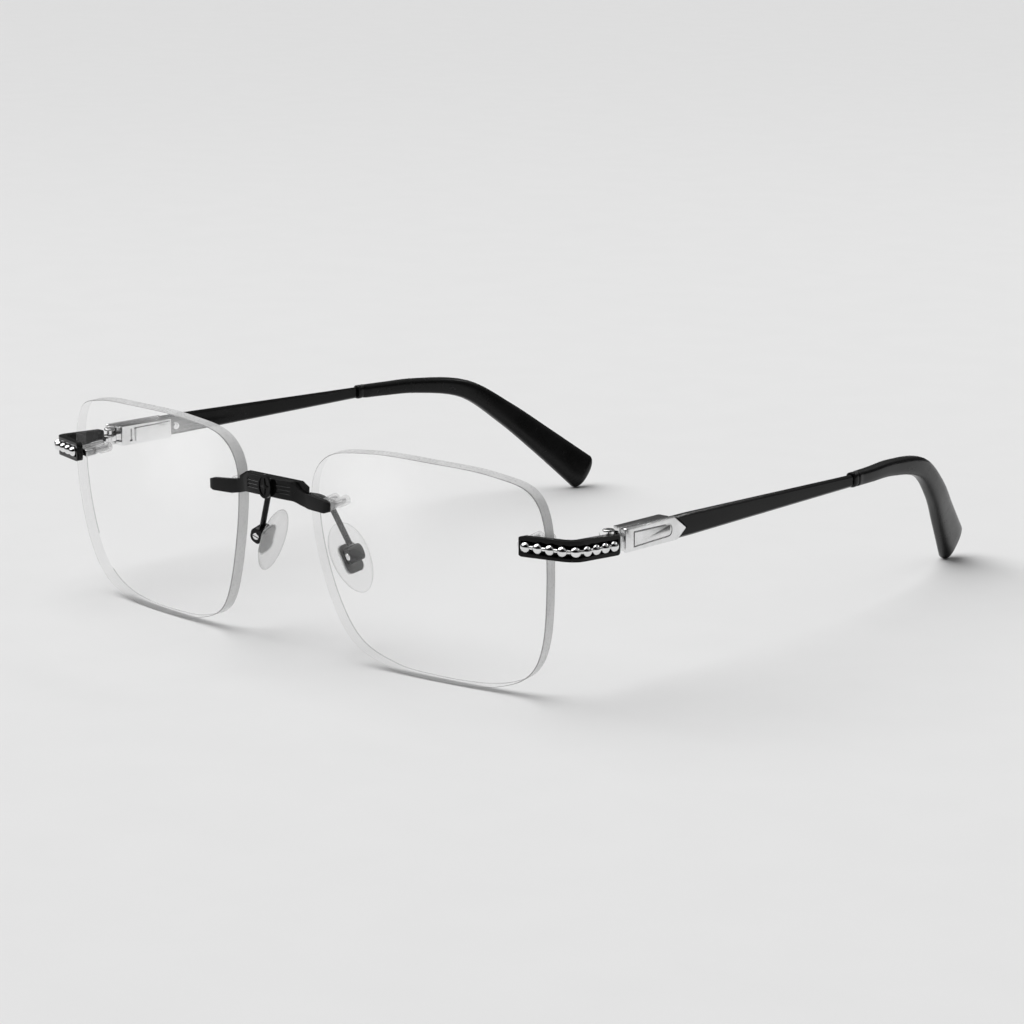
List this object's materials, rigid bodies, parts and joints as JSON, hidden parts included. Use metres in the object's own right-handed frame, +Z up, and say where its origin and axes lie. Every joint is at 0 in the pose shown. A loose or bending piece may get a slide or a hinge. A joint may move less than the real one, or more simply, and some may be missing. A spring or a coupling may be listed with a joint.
{
  "type": "rimless eyeglasses",
  "caption": "Rimless eyeglasses with drilled lenses, a one-piece bridge, rocking nose pads, beaded endpieces and sprung folding temples.",
  "frame": {"origin": "centre of the bounding box's base; the glasses stand open on their lens rims and temple tips", "axes": "+X to the wearer's left and the mirror plane's normal, +Y from the lenses back along the temples, +Z up"},
  "size_m": [0.1484, 0.1571, 0.0435],
  "materials": {
    "black_lacquer": "gloss",
    "black_tip": "gloss",
    "polished_silver": "polished",
    "satin_grey": "satin",
    "clear_lens": "polished",
    "clear_silicone": "gloss",
    "spring_steel": "satin"
  },
  "bodies": {
    "front": {"bridge": "black_lacquer", "bridge_medallion": "black_lacquer", "lens_left": "clear_lens", "bridge_pins_left": "polished_silver", "endpiece_pins_left": "polished_silver", "bridge_bushing_left": "clear_silicone", "endpiece_bushing_left": "clear_silicone", "pad_arm_left": "black_lacquer", "pad_box_left": "black_lacquer", "pad_screw_left": "polished_silver", "endpiece_left": "black_lacquer", "bead_strip_left": "polished_silver", "hinge_leaf_left": "polished_silver", "hinge_screw_left": "polished_silver", "lens_right": "clear_lens", "bridge_pins_right": "polished_silver", "endpiece_pins_right": "polished_silver", "bridge_bushing_right": "clear_silicone", "endpiece_bushing_right": "clear_silicone", "pad_arm_right": "black_lacquer", "pad_box_right": "black_lacquer", "pad_screw_right": "polished_silver", "endpiece_right": "black_lacquer", "bead_strip_right": "polished_silver", "hinge_leaf_right": "polished_silver", "hinge_screw_right": "polished_silver"},
    "hinge_carriage_left": {"hinge_slider_left": "polished_silver", "spring_retainer_left": "spring_steel", "hinge_spring_left": "spring_steel"},
    "temple_left": {"spring_housing_left": "polished_silver", "spring_cover_left": "polished_silver", "ferrule_left": "polished_silver", "ferrule_inlay_left": "polished_silver", "temple_arm_left": "black_lacquer", "temple_plate_left": "satin_grey", "temple_rivet_left": "polished_silver", "temple_tip_left": "black_tip"},
    "pad_left": {"nose_pad_left": "clear_silicone", "pad_insert_left": "satin_grey"},
    "hinge_carriage_right": {"hinge_slider_right": "polished_silver", "spring_retainer_right": "spring_steel", "hinge_spring_right": "spring_steel"},
    "temple_right": {"spring_housing_right": "polished_silver", "spring_cover_right": "polished_silver", "ferrule_right": "polished_silver", "ferrule_inlay_right": "polished_silver", "temple_arm_right": "black_lacquer", "temple_plate_right": "satin_grey", "temple_rivet_right": "polished_silver", "temple_tip_right": "black_tip"},
    "pad_right": {"nose_pad_right": "clear_silicone", "pad_insert_right": "satin_grey"}
  },
  "joints": [
    {"name": "temple_fold_left", "type": "hinge", "parent": "front", "child": "hinge_carriage_left", "pos_m": [0.0701, -0.0575, 0.02995], "axis": [0, 0, 1], "range_deg": [-6, 85]},
    {"name": "temple_spring_left", "type": "slide", "parent": "hinge_carriage_left", "child": "temple_left", "axis": [-0.0269, 0.9996, 0], "range_m": [0, 0.0012], "stiffness_N_per_m": 1500, "deforming": ["hinge_spring_left"]},
    {"name": "nose_pad_rock_left", "type": "hinge", "parent": "front", "child": "pad_left", "pos_m": [0.01327, -0.06731, 0.01973], "axis": [0.1476, 0.9685, 0.2007], "range_deg": [-7, 7]},
    {"name": "temple_fold_right", "type": "hinge", "parent": "front", "child": "hinge_carriage_right", "pos_m": [-0.0701, -0.0575, 0.02995], "axis": [0, 0, -1], "range_deg": [-6, 79]},
    {"name": "temple_spring_right", "type": "slide", "parent": "hinge_carriage_right", "child": "temple_right", "axis": [0.0269, 0.9996, 0], "range_m": [0, 0.0012], "stiffness_N_per_m": 1500, "deforming": ["hinge_spring_right"]},
    {"name": "nose_pad_rock_right", "type": "hinge", "parent": "front", "child": "pad_right", "pos_m": [-0.01327, -0.06731, 0.01973], "axis": [-0.1476, 0.9685, 0.2007], "range_deg": [-7, 7]}
  ]
}
